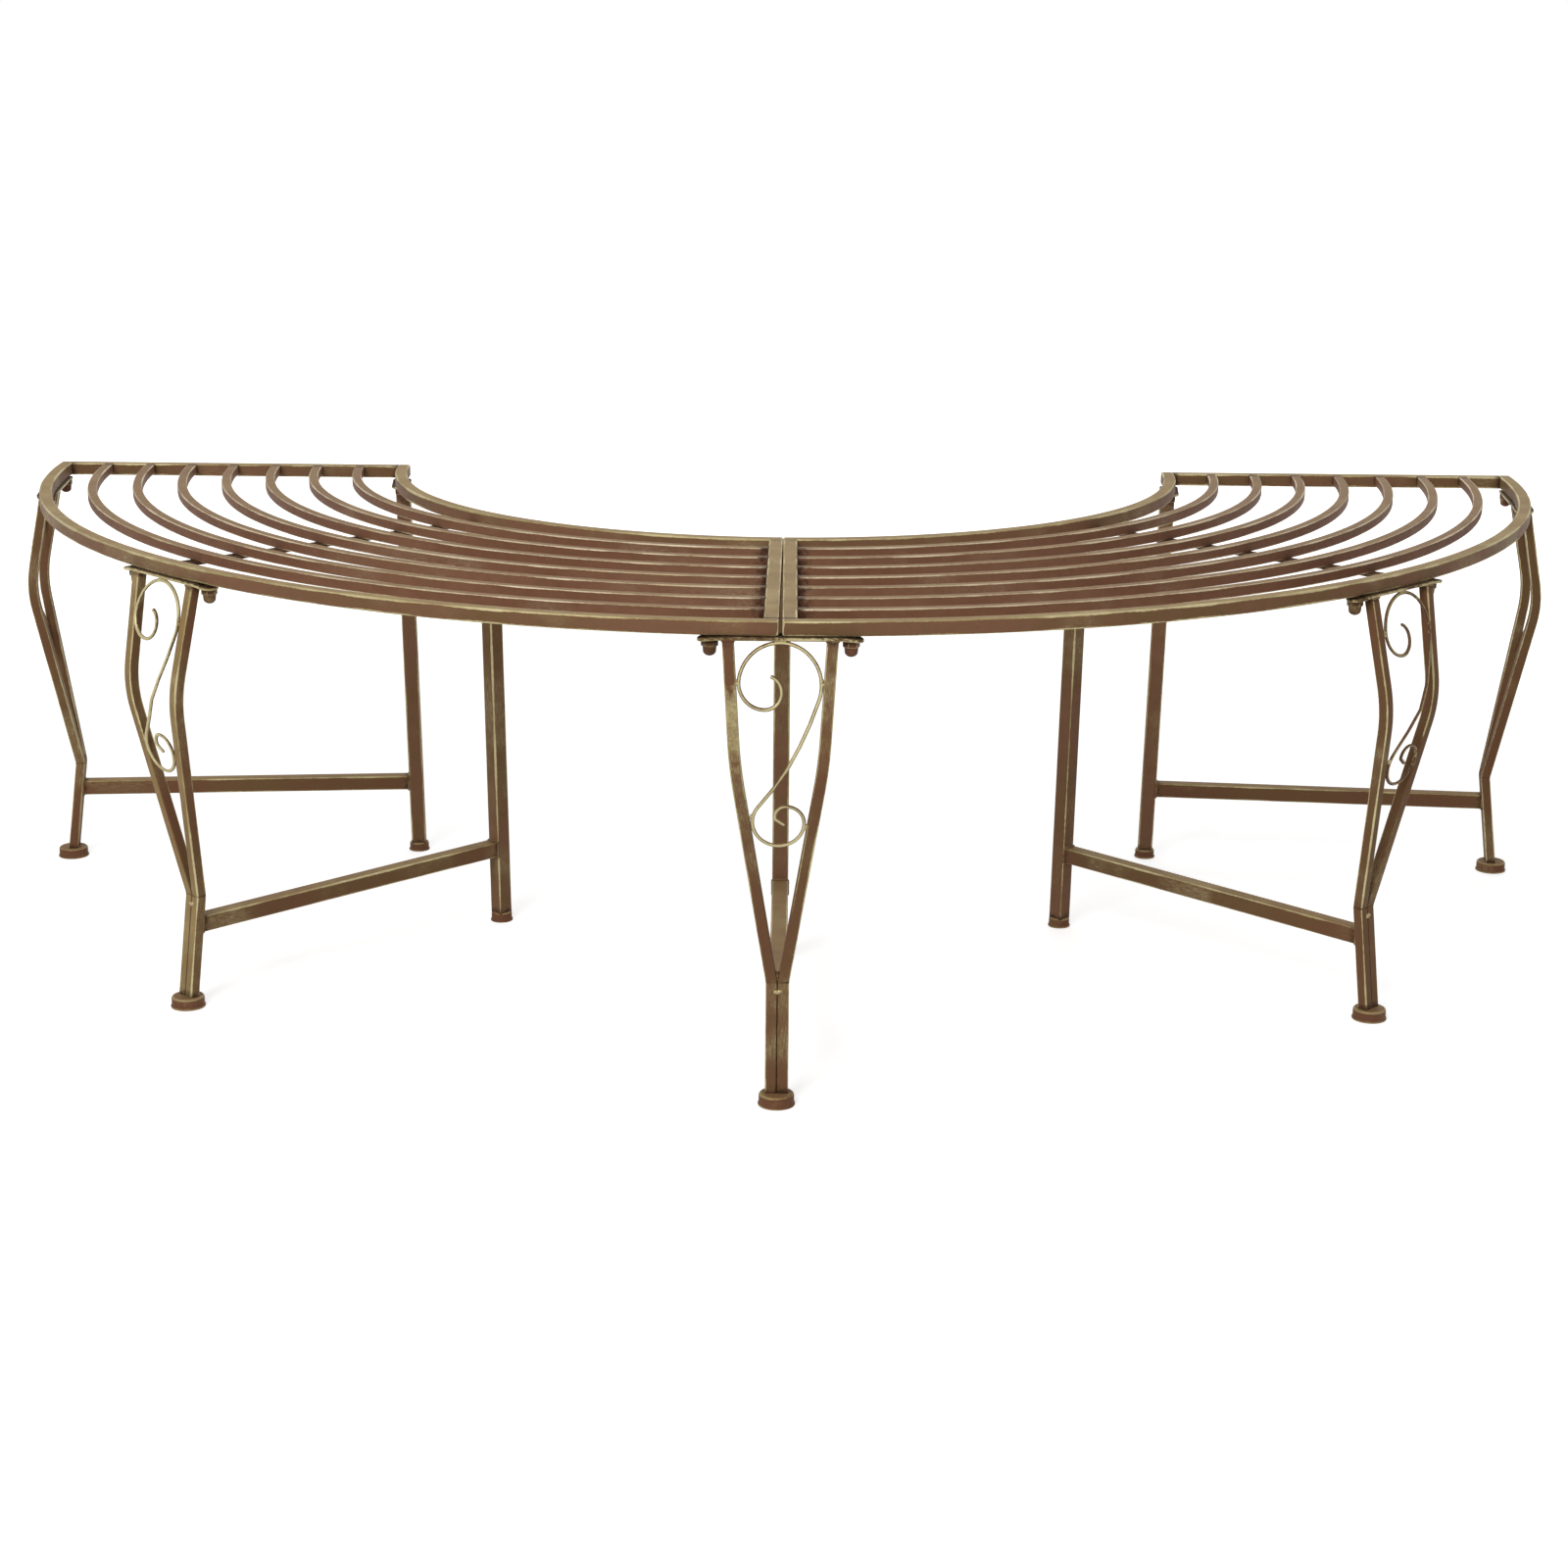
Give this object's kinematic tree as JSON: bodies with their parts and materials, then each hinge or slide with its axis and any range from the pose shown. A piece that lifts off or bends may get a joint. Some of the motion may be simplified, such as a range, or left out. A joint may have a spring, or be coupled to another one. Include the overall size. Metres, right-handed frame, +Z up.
{
  "type": "tree bench",
  "caption": "Half-round slatted tree bench in painted steel, a seat of concentric square bars on bent double legs with wire scrolls and an inner ring of single legs.",
  "frame": {"origin": "on the floor, under the centre of the bench's overall box", "axes": "+X along the long side from the left end to the right end seen from outside, +Y towards the tree, +Z up"},
  "size_m": [1.6455, 0.8266, 0.432],
  "materials": {
    "seat_paint": "satin",
    "strap_paint": "satin",
    "leg_paint": "satin",
    "scroll_paint": "satin",
    "fastener_paint": "satin",
    "foot_paint": "satin"
  },
  "bodies": {
    "root": {"cap_nuts": "fastener_paint", "centre_inner_leg": "leg_paint", "centre_leg_tube_a": "leg_paint", "centre_leg_tube_b": "leg_paint", "centre_scroll": "scroll_paint", "centre_strap": "strap_paint", "centre_stretcher": "leg_paint", "inner_feet": "foot_paint", "inner_straps": "strap_paint", "left_cross_strip": "seat_paint", "left_end_inner_leg": "leg_paint", "left_end_leg_tube_a": "leg_paint", "left_end_leg_tube_b": "leg_paint", "left_end_scroll": "scroll_paint", "left_end_strap": "strap_paint", "left_end_stretcher": "leg_paint", "left_free_bar": "seat_paint", "left_inner_rim": "seat_paint", "left_mid_inner_leg": "leg_paint", "left_mid_leg_tube_a": "leg_paint", "left_mid_leg_tube_b": "leg_paint", "left_mid_scroll": "scroll_paint", "left_mid_strap": "strap_paint", "left_mid_stretcher": "leg_paint", "left_outer_rim": "seat_paint", "left_seam_bar": "seat_paint", "left_slat_1": "seat_paint", "left_slat_2": "seat_paint", "left_slat_3": "seat_paint", "left_slat_4": "seat_paint", "left_slat_5": "seat_paint", "left_slat_6": "seat_paint", "left_slat_7": "seat_paint", "outer_feet": "foot_paint", "right_cross_strip": "seat_paint", "right_end_inner_leg": "leg_paint", "right_end_leg_tube_a": "leg_paint", "right_end_leg_tube_b": "leg_paint", "right_end_scroll": "scroll_paint", "right_end_strap": "strap_paint", "right_end_stretcher": "leg_paint", "right_free_bar": "seat_paint", "right_inner_rim": "seat_paint", "right_mid_inner_leg": "leg_paint", "right_mid_leg_tube_a": "leg_paint", "right_mid_leg_tube_b": "leg_paint", "right_mid_scroll": "scroll_paint", "right_mid_strap": "strap_paint", "right_mid_stretcher": "leg_paint", "right_outer_rim": "seat_paint", "right_seam_bar": "seat_paint", "right_slat_1": "seat_paint", "right_slat_2": "seat_paint", "right_slat_3": "seat_paint", "right_slat_4": "seat_paint", "right_slat_5": "seat_paint", "right_slat_6": "seat_paint", "right_slat_7": "seat_paint", "studs": "fastener_paint"}
  },
  "joints": []
}
